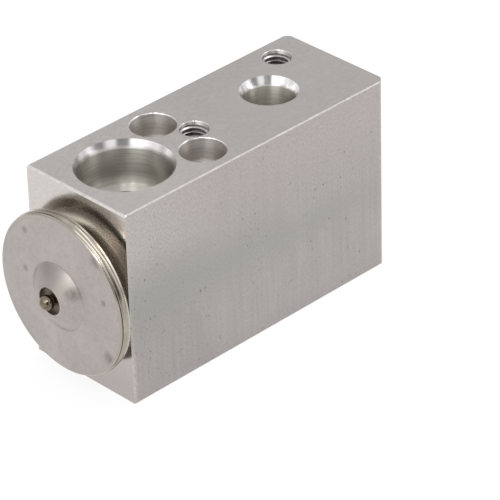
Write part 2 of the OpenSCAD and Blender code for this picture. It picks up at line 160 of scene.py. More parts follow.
def pits(tree, cell_wide, cell_high, reach, share):
    """1 inside small ragged pits, which are scattered over the upright faces, and 0 outside."""
    x, y, z = coordinates(tree)
    ragged = sums(tree, "MULTIPLY", noise(tree, (3000, 3000, 1600), 2, (4, 4, 4)), 0.6 * MM)
    across = sums(tree, "ADD", sums(tree, "ADD", x, y), ragged)
    spot = node(tree, "ShaderNodeTexVoronoi", {
        "Vector": joined(tree, sums(tree, "MULTIPLY", across, 1 / cell_wide),
                         sums(tree, "MULTIPLY", z, 1 / cell_high)),
        "Scale": 1.0}, voronoi_dimensions="2D")
    draw = node(tree, "ShaderNodeSeparateXYZ", {0: spot.outputs["Color"]})
    own_reach = ramp(tree, draw.outputs[1], 0, 1, reach * 0.4, reach * 1.5)
    depth = ramp(tree, sums(tree, "DIVIDE", spot.outputs["Distance"], own_reach), 0.4, 1, 1, 0)
    cloud = noise(tree, (110, 110, 45), 2, (2, 0, 1))
    crowd = ramp(tree, cloud, 0.5, 0.68, 0.05 * share, 1.6 * share)
    chosen = sums(tree, "LESS_THAN", draw.outputs[0], crowd)
    chosen = sums(tree, "MULTIPLY", chosen, ramp(tree, draw.outputs[2], 0, 1, 0.25, 1))
    return sums(tree, "MULTIPLY", depth, chosen)


def extruded_finish():
    """The streaks of the die and pits, with painted light: a lighter top and head end, a painted
    reflection in a band along the side, a painted highlight on the corner and painted shade at the foot.
    """
    finish, tree, shader = bare_metal("extruded_aluminium", (0.43, 0.41, 0.39), 0.4)
    x, y, z = coordinates(tree)
    top = block_high.z
    streaks = noise(tree, (1050, 1050, 45), 3)
    fine = noise(tree, (3600, 3600, 1700), 3, (5, 2, 3))
    cloud = noise(tree, (130, 130, 90), 3, (0.3, 0.1, 0))
    colour = tint(tree, ramp(tree, streaks, 0.3, 0.7), (0.408, 0.374, 0.363), (0.458, 0.422, 0.411))
    # Painted light: the side grows lighter towards its top.
    upper = ramp(tree, z, top * 0.5, top * 0.85, 0, 0.6)
    colour = stain(tree, colour, upper, (0.505, 0.462, 0.452))
    colour = stain(tree, colour, ramp(tree, cloud, 0.48, 0.7, 0, 0.5), (0.475, 0.434, 0.424))

    # Painted reflection: a soft greenish band across the side, standing for the green rings mirrored in
    # it.
    band_slope, band_height, band_sway = -0.05, top * 0.465, 5 * MM
    band_z = sums(tree, "ADD", sums(tree, "MULTIPLY", x, band_slope), band_height)
    off_band = sums(tree, "ADD", off(tree, z, band_z), sums(tree, "MULTIPLY", cloud, band_sway))
    band_width = ramp(tree, x, block_low.x + 12 * MM, block_high.x - 20 * MM, 13 * MM, 7 * MM)
    band = ramp(tree, sums(tree, "DIVIDE", off_band, band_width), 0.35, 1.1, 0.8, 0)
    band_end = ramp(tree, x, block_high.x - 18 * MM, block_high.x - 3 * MM, 1, 0.3)
    # Painted light: lighter still near the head's end, above mid height.
    near_head = sums(tree, "MULTIPLY", ramp(tree, x, block_low.x + 4 * MM, block_low.x + 26 * MM, 0.5, 0),
                     ramp(tree, z, top * 0.5, top * 0.72))
    colour = stain(tree, colour, near_head, (0.6, 0.56, 0.54))
    colour = stain(tree, colour, sums(tree, "MULTIPLY", band, band_end), (0.374, 0.382, 0.352))

    # Painted highlight on the rounded corner beside the head's end, fullest low down.
    corner = ramp(tree, x, block_low.x + 0.35 * MM, block_low.x + 1.3 * MM)
    corner = sums(tree, "MULTIPLY", ramp(tree, corner, 0, 1, 0.75, 0),
                  ramp(tree, z, top * 0.22, top * 0.34, 1, 0.25))
    colour = stain(tree, colour, corner, (0.66, 0.615, 0.6))
    # Painted shade: darker along the foot, next to the floor.
    foot = ramp(tree, z, 0, top * 0.1, 0.35, 0)
    colour = stain(tree, colour, foot, (0.36, 0.335, 0.32))
    colour = stain(tree, colour, ramp(tree, fine, 0.42, 0.68, 0, 0.6), (0.35, 0.325, 0.31))
    dents = sums(tree, "MAXIMUM", pits(tree, 0.6 * MM, 2.3 * MM, 0.12, 0.34),
                 pits(tree, 1.3 * MM, 2.3 * MM, 0.14, 0.07))
    colour = stain(tree, colour, dents, (0.13, 0.115, 0.105))
    tree.links.new(colour, shader.inputs["Base Color"])
    tree.links.new(ramp(tree, fine, 0.2, 0.8, 0.34, 0.46), shader.inputs["Roughness"])

    pit_depth, streak_share = 0.06 * MM, 0.018
    height = sums(tree, "SUBTRACT", sums(tree, "MULTIPLY", streaks, streak_share), dents)
    relief(tree, shader, height, pit_depth)
    return finish


def milled_finish():
    """The fine grain of a milled face, with wiped patches and a few specks."""
    finish, tree, shader = bare_metal("milled_aluminium", (0.44, 0.418, 0.398), 0.42)
    grain = noise(tree, (4200, 4200, 4200), 3)
    zones = noise(tree, (60, 90, 60), 2)
    wipes = noise(tree, (260, 420, 60), 3, (2, 4, 1))
    specks = noise(tree, (1500, 1500, 1500), 1, (9, 1, 4))
    mottle = noise(tree, (950, 950, 950), 2, (6, 6, 2))
    colour = tint(tree, ramp(tree, grain, 0.3, 0.7), (0.338, 0.317, 0.302), (0.458, 0.434, 0.416))
    colour = stain(tree, colour, ramp(tree, mottle, 0.42, 0.64, 0, 0.45), (0.49, 0.455, 0.437))
    colour = stain(tree, colour, ramp(tree, zones, 0.4, 0.65, 0, 0.4), (0.465, 0.44, 0.42))
    colour = stain(tree, colour, ramp(tree, wipes, 0.58, 0.8, 0, 0.5), (0.52, 0.49, 0.475))
    colour = stain(tree, colour, ramp(tree, specks, 0.74, 0.79, 0, 0.6), (0.2, 0.185, 0.175))
    x, y, z = coordinates(tree)
    # Painted shade: the face darkens away from the head's end.
    far = ramp(tree, x, block_low.x + 18 * MM, block_low.x + 40 * MM, 0, 0.5)
    colour = stain(tree, colour, far, (0.345, 0.322, 0.308))
    tree.links.new(colour, shader.inputs["Base Color"])
    tree.links.new(ramp(tree, grain, 0.3, 0.7, 0.38, 0.46), shader.inputs["Roughness"])
    relief(tree, shader, grain, 0.003 * MM)
    return finish


def head_end_finish():
    """The milled end, paler than the top as painted light and smooth enough to mirror the head, with a
    painted reflection of the head's dish as a bright arc beside it.
    """
    finish, tree, shader = bare_metal("milled_end", (0.61, 0.565, 0.55), 0.19)
    x, y, z = coordinates(tree)
    grain = noise(tree, (4000, 900, 4000), 2)
    # Painted light: the end is a paler copy of the milled top's aluminium.
    colour = tint(tree, ramp(tree, grain, 0.3, 0.7), (0.57, 0.525, 0.51), (0.65, 0.61, 0.59))
    # Painted shade: darker towards the foot of the end.
    lower = ramp(tree, z, block_high.z * 0.1, block_high.z * 0.6, 0.8, 0)
    colour = stain(tree, colour, lower, (0.42, 0.375, 0.355))
    # Painted reflection: a bright arc where the end mirrors the head's dish.
    arc_middle, arc_radius = (0, -2.1 * MM, axis_z + 1.8 * MM), 13.8 * MM
    away = node(tree, "ShaderNodeVectorMath", {
        0: joined(tree, 0.0, y, z), 1: arc_middle}, operation="DISTANCE").outputs["Value"]
    arc = sums(tree, "MULTIPLY", ramp(tree, off(tree, away, arc_radius), 0.1 * MM, 0.8 * MM, 1, 0),
               ramp(tree, z, axis_z + 9 * MM, axis_z + 13 * MM))
    colour = stain(tree, colour, arc, (0.98, 0.96, 0.89))
    tree.links.new(colour, shader.inputs["Base Color"])
    relief(tree, shader, grain, 0.0001 * MM)
    return finish


def turned_finish(name, dark, bright, roughness, ring_depth, brushed, rings_per_metre=5200):
    """Metal cut by a turning tool: fine rings along v of the piece's turning map."""
    breaks_per_metre, quarter_turn = 90, 0.25
    finish, tree, shader = bare_metal(
        name, bright, roughness, anisotropic=brushed, anisotropic_rotation=quarter_turn)
    along = node(tree, "ShaderNodeUVMap", uv_map="turning").outputs[0]
    rings = node(tree, "ShaderNodeTexNoise", {
        "Vector": node(tree, "ShaderNodeMapping", {
            "Vector": along, "Scale": (breaks_per_metre, rings_per_metre, 1)}).outputs[0],
        "Scale": 1.0, "Detail": 3.0}).outputs["Fac"]
    colour = tint(tree, ramp(tree, rings, 0.3, 0.7), dark, bright)
    tree.links.new(colour, shader.inputs["Base Color"])
    direction = node(tree, "ShaderNodeAttribute", attribute_name="around")
    tree.links.new(direction.outputs["Vector"], shader.inputs["Tangent"])
    relief(tree, shader, rings, ring_depth)
    return finish


def edge_finish():
    """A deburred edge, paler than the faces, partly bare metal and partly a painted highlight: brightest
    at the head's end, duller along the sides, where nicks break it.
    """
    finish, tree, shader = bare_metal("deburred_edge", (0.72, 0.7, 0.68), 0.3)
    x, y, z = coordinates(tree)
    nicks = noise(tree, (900, 900, 900), 3)
    # Partly bare deburred metal and partly a painted highlight: the edge is far paler than the faces
    # beside it.
    colour = tint(tree, ramp(tree, nicks, 0.3, 0.55), (0.62, 0.59, 0.57), (0.74, 0.712, 0.69))
    along = ramp(tree, x, block_low.x + 0.35 * MM, block_low.x + 0.6 * MM)
    colour = stain(tree, colour, along, (0.5, 0.472, 0.458))
    # Nicks that break the painted highlight along the sides.
    highlight_breaks = sums(tree, "MULTIPLY", along, ramp(tree, nicks, 0.5, 0.62, 0.7, 0))
    colour = stain(tree, colour, highlight_breaks, (0.42, 0.392, 0.38))
    tree.links.new(colour, shader.inputs["Base Color"])
    tree.links.new(ramp(tree, along, 0, 1, 0.3, 0.5), shader.inputs["Roughness"])
    return finish


doubles_reach = 1e-7


def put(name, data):
    """Adds an object to the scene, with its mesh or camera."""
    made = bpy.data.objects.new(name, data)
    bpy.context.scene.collection.objects.link(made)
    return made


def exact_copy(name, cad_node):
    """A node's mesh as one closed skin, with the true normals of its round faces."""
    source = frame["nodes"][cad_node].data
    normals = [tuple(n.vector) for n in source.corner_normals]
    mesh = source.copy()
    mesh.name = name
    mesh.materials.clear()
    skin = bmesh.new()
    skin.from_mesh(mesh)
    bmesh.ops.remove_doubles(skin, verts=skin.verts, dist=doubles_reach)
    skin.to_mesh(mesh)
    skin.free()
    if len(mesh.loops) == len(normals):
        mesh.normals_split_custom_set(normals)
    return put(name, mesh)


def map_turning(mesh, holes):
    """Unrolls each face round its hole: u is the way round, v the way along and outwards, in metres.

    The tool's own direction at each corner goes into the attribute named around.
    """
    mesh.uv_layers.new(name="turning")
    mesh.attributes.new("around", "FLOAT_VECTOR", "CORNER")
    layer = mesh.uv_layers["turning"]
    around = mesh.attributes["around"]
    for face in mesh.polygons:
        where = holes[face.index]
        if where is None:
            continue
        centre, radius, upright = where
        first = None
        for corner in face.loop_indices:
            p = mesh.vertices[mesh.loops[corner].vertex_index].co
            x, y, along = (p.x, p.y, p.z) if upright else (p.y, p.z, p.x)
            x, y = x - centre[0], y - centre[1]
            angle = math.atan2(y, x)
            if first is None:
                first = angle
            angle = first + (angle - first + math.pi) % (2 * math.pi) - math.pi
            reach = math.hypot(x, y)
            layer.data[corner].uv = (angle * radius, along + reach)
            across, rise = -math.sin(angle), math.cos(angle)
            around.data[corner].vector = (across, rise, 0) if upright else (0, across, rise)


valve_block = exact_copy("valve_block", "valve_body")
FINISHES = ["extruded", "milled", "head_end", "edge", "mouth", "wall", "floor", "inside", "recess"]
for finish in (
    extruded_finish(), milled_finish(), head_end_finish(), edge_finish(),
    turned_finish("turned_mouth", (0.82, 0.79, 0.8), (0.92, 0.895, 0.9), 0.23, 0.0008 * MM, 0.8),
    turned_finish("bored_wall", (0.42, 0.42, 0.38), (0.61, 0.59, 0.54), 0.32, 0.0001 * MM, 0.86, 3900),
    turned_finish("port_floor", (0.66, 0.64, 0.62), (0.8, 0.775, 0.755), 0.4, 0.0008 * MM, 0.9, 2600),
    turned_finish("bored_inside", (0.4, 0.39, 0.37), (0.55, 0.54, 0.52), 0.3, 0.003 * MM, 0.6),
    # A darker copy of the bored wall, as painted shade in the deep bolt-head recesses.
    turned_finish("recess_wall", (0.36, 0.33, 0.31), (0.52, 0.482, 0.457), 0.5, 0.0005 * MM, 0.8, 3900),
):
    valve_block.data.materials.append(finish)

upright_holes = [(*bore_of(n), "recess" if "recess" in n else "wall") for n in (
    "suction_port", "liquid_port", "return_port", "feed_port", "bolt_head_recess_left",
    "bolt_head_recess_right", "stud_hole_middle", "stud_hole_side")]
edge_reach = 0.6 * MM
corner_reach = 3 * MM
mouth_slack = 0.9 * MM
hole_reach = 12 * MM
passage_radius = 5 * MM
touching = 1e-6
wall_rise, floor_rise = 0.15, 0.98


def finish_of(middle, normal):
    """Which finish a face of the block has, and the hole that it belongs to."""
    sides = sorted((
        middle.x - block_low.x, block_high.x - middle.x, middle.y - block_low.y,
        block_high.y - middle.y, middle.z - block_low.z, block_high.z - middle.z))
    rise = abs(normal.z)
    outer = sides[0] < touching and max(abs(normal.x), abs(normal.y), rise) > 0.999
    upright = rise < 0.02
    if outer:
        return ("head_end" if normal.x < -0.9 else "milled" if rise > 0.9 else "extruded"), None
    for centre, radius, wall in upright_holes:
        away = math.hypot(middle.x - centre.x, middle.y - centre.y)
        if abs(middle.z - centre.z) < hole_reach and away <= radius + mouth_slack:
            kind = wall if rise < wall_rise else "mouth" if rise < floor_rise else "floor"
            return kind, (centre, radius, True)
    if sides[1] < edge_reach and not upright:
        return "edge", None
    if upright and sides[0] < corner_reach and abs(normal.x) + abs(normal.y) > 1.0:
        return ("edge" if normal.x < 0 else "extruded"), None
    if middle.x < block_low.x + edge_reach and sides[1] < edge_reach:
        return "edge", None
    return "inside", ((0, axis_z), passage_radius, False)


holes = []
for face in valve_block.data.polygons:
    kind, hole = finish_of(face.center, face.normal)
    face.material_index = FINISHES.index(kind)
    holes.append(hole)
map_turning(valve_block.data, holes)
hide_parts("valve_body")
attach(valve_block, "block")


# Stud hole threads
# Two M6 threads, cut by a tap into holes with a small countersink. The block holds the plain holes
# at the threads' outer diameter, and each of these pieces is the metal between the thread's flanks.
def measures(tree, **sizes):
    """A tree's named inputs for its sizes, and its one output."""
    tree.interface.new_socket("Geometry", in_out="OUTPUT", socket_type="NodeSocketGeometry")
    for name, size in sizes.items():
        made = tree.interface.new_socket(
            name.replace("_", " "), in_out="INPUT", socket_type="NodeSocketFloat")
        made.default_value = size
    given = tree.nodes.new("NodeGroupInput").outputs
    return {name: given[name.replace("_", " ")] for name in sizes}


def end_tree(tree, shape, finish, smooth=True):
    """Ends a tree: doubles merged, shaded smooth or flat, instances real, material set."""
    merged = node(tree, "GeometryNodeMergeByDistance", {"Geometry": shape, "Distance": 1e-6})
    shaded = node(tree, "GeometryNodeSetShadeSmooth", {
        "Geometry": merged.outputs[0], "Shade Smooth": smooth})
    real = node(tree, "GeometryNodeRealizeInstances", {0: shaded.outputs[0]})
    painted = node(tree, "GeometryNodeSetMaterial", {"Geometry": real.outputs[0]})
    painted.inputs["Material"].default_value = finish
    node(tree, "NodeGroupOutput", {0: painted.outputs[0]})


def grown(name, tree, **sizes):
    """The plain mesh piece that a tree makes with these sizes."""
    made = put(name, bpy.data.meshes.new(name))
    grower = made.modifiers.new(name, "NODES")
    grower.node_group = tree
    for item in tree.interface.items_tree:
        key = item.name.replace(" ", "_")
        if item.in_out == "INPUT" and key in sizes:
            grower[item.identifier] = sizes[key]
    shape = bpy.data.meshes.new_from_object(
        made.evaluated_get(bpy.context.evaluated_depsgraph_get()))
    made.modifiers.clear()
    made.data = shape
    shape.name = name
    return made


def moved(mesh, matrix):
    """Puts a mesh in its place, with its faces outwards."""
    mesh.transform(matrix)
    skin = bmesh.new()
    skin.from_mesh(mesh)
    bmesh.ops.remove_doubles(skin, verts=skin.verts, dist=doubles_reach)
    bmesh.ops.dissolve_degenerate(skin, edges=skin.edges, dist=doubles_reach)
    bmesh.ops.recalc_face_normals(skin, faces=skin.faces)
    skin.to_mesh(mesh)
    skin.free()


def round_point(tree, radius, angle):
    """The two coordinates of a point at that radius and angle."""
    return [sums(tree, "MULTIPLY", radius, sums(tree, kind, angle, 0.0)) for kind in ("COSINE", "SINE")]


def thread_tree(finish):
    """The cut thread of a hole, which runs down from height 0."""
    rows_per_turn, columns, run_out = 16, 72, 0.6 * MM
    crest_end, root_start = 0.25, 0.875
    whole_turns = 100.0
    tree = bpy.data.node_groups.new("cut_thread", "GeometryNodeTree")
    size = measures(tree, wall=3.02 * MM, root=2.99 * MM, crest=2.5 * MM, pitch=1 * MM,
                    length=13.7 * MM, lead=3.26 * MM, slope=1.0)
    turns = sums(tree, "DIVIDE", size["length"], size["pitch"])
    rows = sums(tree, "MULTIPLY", sums(tree, "ADD", turns, 1.0), rows_per_turn)
    rows = sums(tree, "ADD", sums(tree, "CEIL", rows, 0.0), 3.0)
    sheet = node(tree, "GeometryNodeMeshGrid", {
        "Size X": 1.0, "Size Y": 1.0, "Vertices X": columns + 1, "Vertices Y": rows})
    spot = node(tree, "ShaderNodeSeparateXYZ", {
        0: node(tree, "GeometryNodeInputPosition").outputs[0]})
    around = sums(tree, "ADD", spot.outputs[0], 0.5)
    angle = sums(tree, "MULTIPLY", around, 2 * math.pi)
    row = sums(tree, "MULTIPLY", sums(tree, "ADD", spot.outputs[1], 0.5),
               sums(tree, "SUBTRACT", rows, 1.0))
    row = sums(tree, "SUBTRACT", sums(tree, "ROUND", row, 0.0), 1.0)
    step = sums(tree, "DIVIDE", row, rows_per_turn)
    phase = sums(tree, "FRACT", sums(tree, "ADD", step, whole_turns), 0.0)
    off_crest = off(tree, sums(tree, "MULTIPLY", phase, 2.0), 1.0)
    tooth = ramp(tree, off_crest, crest_end, root_start, 1.0, 0.0)
    top = sums(tree, "SUBTRACT", size["lead"], size["wall"])
    depth = sums(tree, "MULTIPLY", sums(tree, "SUBTRACT", step, around), size["pitch"])
    depth = sums(tree, "MINIMUM", sums(tree, "MAXIMUM", depth, top), size["length"])
    faded = ramp(tree, sums(tree, "SUBTRACT", size["length"], depth), 0.0, run_out)
    tooth = sums(tree, "MULTIPLY", tooth, faded)
    floor_of = node(tree, "ShaderNodeMix", {0: faded, 2: size["wall"], 3: size["root"]}).outputs[0]
    radius = sums(tree, "ADD", floor_of, sums(
        tree, "MULTIPLY", tooth, sums(tree, "SUBTRACT", size["crest"], size["root"])))
    cone = sums(tree, "SUBTRACT", size["lead"], sums(tree, "MULTIPLY", depth, size["slope"]))
    radius = sums(tree, "MAXIMUM", radius, cone)
    first = sums(tree, "LESS_THAN", row, -0.5)
    last = sums(tree, "GREATER_THAN", row, sums(tree, "SUBTRACT", rows, 2.5))
    outer = sums(tree, "MAXIMUM", first, last)
    radius = node(tree, "ShaderNodeMix", {0: outer, 2: radius, 3: size["wall"]}).outputs[0]
    depth = node(tree, "ShaderNodeMix", {0: outer, 2: depth, 3: size["length"]}).outputs[0]
    wound = node(tree, "GeometryNodeSetPosition", {
        "Geometry": sheet.outputs[0],
        "Position": joined(tree, *round_point(tree, radius, angle), sums(tree, "MULTIPLY", depth, -1.0))})
    end_tree(tree, wound.outputs[0], finish, False)
    return tree


def thread_finish():
    """The bright cuts of a tap."""
    finish, tree, shader = bare_metal("tapped_aluminium", (0.5, 0.48, 0.465), 0.34)
    grain = noise(tree, (4000, 4000, 4000), 2)
    colour = tint(tree, ramp(tree, grain, 0.3, 0.7), (0.42, 0.4, 0.385), (0.56, 0.535, 0.52))
    tree.links.new(colour, shader.inputs["Base Color"])
    relief(tree, shader, grain, 0.002 * MM)
    return finish


threads = thread_tree(thread_finish())
sunk, root_height, crest_height, countersink = 0.02 * MM, 0.01 * MM, 0.5 * MM, 0.06 * MM
for side in ("middle", "side"):
    centre, radius = bore_of("stud_hole_" + side)
    thread = grown("stud_thread_" + side, threads, wall=radius + sunk, root=radius - root_height,
                   crest=radius - crest_height, lead=radius + countersink, slope=0.5)
    moved(thread.data, Matrix.Translation((centre.x, centre.y, block_high.z)))
    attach(thread, "block")


# Power head covers
# Two covers of stainless sheet, pressed to shape. The upper one has a flat dome with the charging
# hole; the lower one is dished and ends in the threaded neck. The rim is ground where it is rounded.
head_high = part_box("head_cover")[1]
rim_radius = head_high.y
film_x = (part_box("head_housing")[0].x + head_high.x) / 2
seam_x = film_x - 0.86 * MM
recess_radius = 2.95 * MM
dome_radius = 7.4 * MM
# Radius of the painted highlight ring on the lower cover.
highlight_ring_radius = 14.0 * MM


def axis_radius(tree):
    """A point's distance from the valve axis, its angle round it, and its place along it."""
    apart = node(tree, "ShaderNodeSeparateXYZ", {0: place(tree, shift=(0, 0, -axis_z))})
    x, y, z = apart.outputs[0], apart.outputs[1], apart.outputs[2]
    reach = node(tree, "ShaderNodeVectorMath", {
        0: joined(tree, 0.0, y, z)}, operation="LENGTH").outputs["Value"]
    return reach, sums(tree, "ARCTAN2", z, y), x


def facing(tree, around, degrees):
    """1 where the angle round the valve axis is this one, falling to -1 on the far side."""
    return sums(tree, "COSINE", sums(tree, "SUBTRACT", around, math.radians(degrees)), 0.0)


def smudges(tree, spots):
    """1 on listed soft marks of the head's face, each with its y, z and radius in mm, else 0."""
    flat = joined(tree, 0.0, *coordinates(tree)[1:])
    ragged = noise(tree, (1100, 1100, 1100), 2, (3, 3, 3))
    total = 0.0
    for y, z, radius in spots:
        away = node(tree, "ShaderNodeVectorMath", {
            0: flat, 1: (0, y * MM, z * MM)}, operation="DISTANCE").outputs["Value"]
        total = sums(tree, "MAXIMUM", total, ramp(tree, away, radius * 0.3 * MM, radius * MM, 1, 0))
    return sums(tree, "MULTIPLY", total, ramp(tree, ragged, 0.3, 0.6, 1, 0.6))


def cover_finish():
    """Satin sheet, with turned lines near its rim, soft marks and the seam, and painted light: painted
    shade along its creases and on one side of the dome, a painted highlight on the dome, and painted
    shade with the heat tint in the recess.
    """
    finish, tree, shader = bare_metal("satin_stainless", (0.445, 0.405, 0.39), 0.32)
    reach, around, along = axis_radius(tree)
    grain = noise(tree, (2600, 2600, 2600), 3)
    cloud = noise(tree, (160, 160, 160), 3, (1, 2, 3))
    colour = tint(tree, ramp(tree, grain, 0.3, 0.7), (0.395, 0.356, 0.344), (0.455, 0.416, 0.4))
    colour = stain(tree, colour, ramp(tree, cloud, 0.45, 0.7, 0, 0.5), (0.51, 0.464, 0.45))
    rings_per_metre, ring_sway = 1900, 0.8
    rings = node(tree, "ShaderNodeTexNoise", {
        "Vector": joined(tree, sums(tree, "MULTIPLY", reach, rings_per_metre),
                         sums(tree, "MULTIPLY", around, ring_sway)),
        "Scale": 1.0, "Detail": 2.0}).outputs["Fac"]
    worked = ramp(tree, reach, rim_radius - 3.2 * MM, rim_radius - 1.2 * MM)
    lines = sums(tree, "MULTIPLY", worked, rings)
    colour = stain(tree, colour, ramp(tree, lines, 0.55, 0.7, 0, 0.5), (0.34, 0.31, 0.3))
    mottle = noise(tree, (620, 620, 620), 3, (4, 1, 7))
    colour = stain(tree, colour, ramp(tree, mottle, 0.5, 0.66, 0, 0.45), (0.37, 0.335, 0.322))

    # Painted shade: dark lines round the dome's foot and the recess's lip, fading round one side.
    open_side = ramp(tree, facing(tree, around, -160), 0.75, 0.95, 1, 0.1)
    for crease_radius, half_width, share in (
            (dome_radius, 0.16 * MM, 0.5), (recess_radius + 0.6 * MM, 0.1 * MM, 0.3)):
        crease_shade = ramp(tree, off(tree, reach, crease_radius), 0, half_width, share, 0)
        crease_shade = sums(tree, "MULTIPLY", crease_shade, open_side)
        colour = stain(tree, colour, crease_shade, (0.2, 0.175, 0.165))
    dome = ramp(tree, reach, dome_radius - 0.4 * MM, dome_radius, 1, 0)
    # Painted shade over one side of the dome.
    dome_shade = ramp(tree, facing(tree, around, 62), 0.3, 0.95, 0, 0.75)
    colour = stain(tree, colour, sums(tree, "MULTIPLY", dome, dome_shade), (0.335, 0.297, 0.29))
    # Painted highlight: a narrow cream patch on the dome.
    dome_highlight = ramp(tree, facing(tree, around, 132), 0.9, 0.995, 0, 0.6)
    colour = stain(tree, colour, sums(tree, "MULTIPLY", dome, dome_highlight), (0.47, 0.445, 0.39))
    marks = smudges(tree, (
        (9.4, 33.7, 1.0), (9.6, 24.8, 1.0), (-11.0, 34.9, 1.8), (-13.5, 13.7, 1.7),
        (-5.4, 25.4, 2.0), (-12.9, 26.2, 0.9)))
    colour = stain(tree, colour, sums(tree, "MULTIPLY", marks, 0.9), (0.22, 0.192, 0.186))

    shoulder = ramp(tree, reach, rim_radius - 0.6 * MM, rim_radius - 0.4 * MM)
    colour = stain(tree, colour, shoulder, (0.4, 0.365, 0.315))
    seam = ramp(tree, off(tree, along, seam_x), 0.08 * MM, 0.19 * MM, 1, 0)
    ground_away = ramp(tree, facing(tree, around, 120), 0.77, 0.92, 1, 0.25)
    on_rim = ramp(tree, reach, rim_radius - 0.2 * MM, rim_radius - 0.1 * MM)
    seam = sums(tree, "MULTIPLY", sums(tree, "MULTIPLY", seam, ground_away), on_rim)
    colour = stain(tree, colour, seam, (0.07, 0.055, 0.045))
    # Heat tint and painted shade: the recess is dark brown inside.
    pit = ramp(tree, reach, recess_radius - 0.05 * MM, recess_radius + 0.04 * MM, 1, 0)
    colour = stain(tree, colour, pit, (0.2, 0.165, 0.135))
    tree.links.new(colour, shader.inputs["Base Color"])

    gloss = ramp(tree, shoulder, 0, 1, 0.34, 0.16)
    for dulled, more in ((pit, 0.14), (dome, 0.06)):
        gloss = sums(tree, "ADD", gloss, sums(tree, "MULTIPLY", dulled, more))
    tree.links.new(gloss, shader.inputs["Roughness"])
    line_depth, grain_share = 0.02 * MM, 0.1
    height = sums(tree, "ADD", sums(tree, "MULTIPLY", grain, grain_share), lines)
    relief(tree, shader, height, line_depth)
    return finish


def housing_finish():
    """Pressed sheet with a painted highlight in one ring, which the milled end mirrors as a bright
    streak.
    """
    finish, tree, shader = bare_metal("pressed_stainless", (0.8, 0.75, 0.65), 0.2)
    grain = noise(tree, (2600, 2600, 2600), 3)
    colour = tint(tree, ramp(tree, grain, 0.3, 0.7), (0.3, 0.27, 0.225), (0.38, 0.345, 0.29))
    reach = axis_radius(tree)[0]
    # Painted highlight: a bright ring, which shows as a streak in the end's reflection.
    highlight_ring = ramp(tree, off(tree, reach, highlight_ring_radius), 0.35 * MM, 0.85 * MM, 1, 0)
    colour = stain(tree, colour, highlight_ring, (0.95, 0.93, 0.85))
    flange = ramp(tree, reach, rim_radius - 0.4 * MM, rim_radius - 0.2 * MM)
    colour = stain(tree, colour, flange, (0.5, 0.465, 0.4))
    tree.links.new(colour, shader.inputs["Base Color"])
    relief(tree, shader, grain, 0.002 * MM)
    return finish


def dress(cad_node, finish):
    """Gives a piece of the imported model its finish."""
    frame["nodes"][cad_node].material_slots[0].material = finish


dress("head_cover", cover_finish())
dress("head_housing", housing_finish())


# Rim weld
# The covers and the diaphragm between them are joined by one weld bead all round the rim. It has the
# fine ripples of its pulses, and a small lump where it closes on itself.
def weld_tree(finish):
    """A weld bead round the z axis, with its ripples and the lump where it closes."""
    tree = bpy.data.node_groups.new("weld_bead", "GeometryNodeTree")
    size = measures(tree, radius=17.5 * MM, half_width=0.68 * MM, bulge=0.2 * MM, sink=0.4 * MM,
                    ripple=0.012 * MM, ripples=300.0, lump=0.1 * MM)
    steps_round, section_steps, section_radius = 900, 20, 0.1
    round_line = node(tree, "GeometryNodeCurvePrimitiveCircle", {
        "Resolution": steps_round, "Radius": 1.0})
    section = node(tree, "GeometryNodeCurvePrimitiveCircle", {
        "Resolution": section_steps, "Radius": section_radius})
    tube = node(tree, "GeometryNodeCurveToMesh", {
        "Curve": round_line.outputs[0], "Profile Curve": section.outputs[0]})
    spot = node(tree, "ShaderNodeSeparateXYZ", {
        0: node(tree, "GeometryNodeInputPosition").outputs[0]})
    angle = sums(tree, "ARCTAN2", spot.outputs[1], spot.outputs[0])
    out = node(tree, "ShaderNodeVectorMath", {
        0: joined(tree, spot.outputs[0], spot.outputs[1])}, operation="LENGTH").outputs["Value"]
    across = sums(tree, "MULTIPLY", spot.outputs[2], 1 / section_radius)
    rise = sums(tree, "MULTIPLY", sums(tree, "SUBTRACT", out, 1.0), 1 / section_radius)
    ripple_bow, lump_reach = 2.4, 0.035
    bow = sums(tree, "MULTIPLY", sums(tree, "MULTIPLY", across, across), ripple_bow)
    wave = sums(tree, "SINE", sums(tree, "ADD", sums(tree, "MULTIPLY", angle, size["ripples"]), bow), 0.0)
    outside = sums(tree, "MAXIMUM", rise, 0.0)
    lump = ramp(tree, sums(tree, "ABSOLUTE", angle, 0.0), 0.0, lump_reach, 1, 0)
    grown_by = sums(tree, "ADD", sums(tree, "MULTIPLY", wave, size["ripple"]),
                    sums(tree, "MULTIPLY", size["lump"], lump))
    high = sums(tree, "MULTIPLY", outside, sums(tree, "ADD", size["bulge"], grown_by))
    low = sums(tree, "MULTIPLY", sums(tree, "MINIMUM", rise, 0.0), size["sink"])
    radius = sums(tree, "ADD", size["radius"], sums(tree, "ADD", high, low))
    placed = node(tree, "GeometryNodeSetPosition", {
        "Geometry": tube.outputs[0],
        "Position": joined(tree, *round_point(tree, radius, angle),
                           sums(tree, "MULTIPLY", across, size["half_width"]))})
    end_tree(tree, placed.outputs[0], finish)
    return tree


def weld_finish():
    """Ground weld, tinted by its heat, with an open line on one side."""
    finish, tree, shader = bare_metal("ground_weld", (0.48, 0.44, 0.38), 0.15)
    heat = noise(tree, (200, 200, 200), 2)
    colour = tint(tree, ramp(tree, heat, 0.35, 0.65), (0.29, 0.258, 0.212), (0.44, 0.405, 0.352))
    around, along = axis_radius(tree)[1:]
    line_place = 0.5 * MM
    off_line = off(tree, off(tree, along, film_x), line_place)
    line = ramp(tree, off_line, 0.02 * MM, 0.12 * MM, 0.85, 0)
    open_line = ramp(tree, facing(tree, around, 152), 0.93, 0.985, 0.0, 1)
    colour = stain(tree, colour, sums(tree, "MULTIPLY", line, open_line), (0.1, 0.085, 0.07))
    tree.links.new(colour, shader.inputs["Base Color"])
    return finish


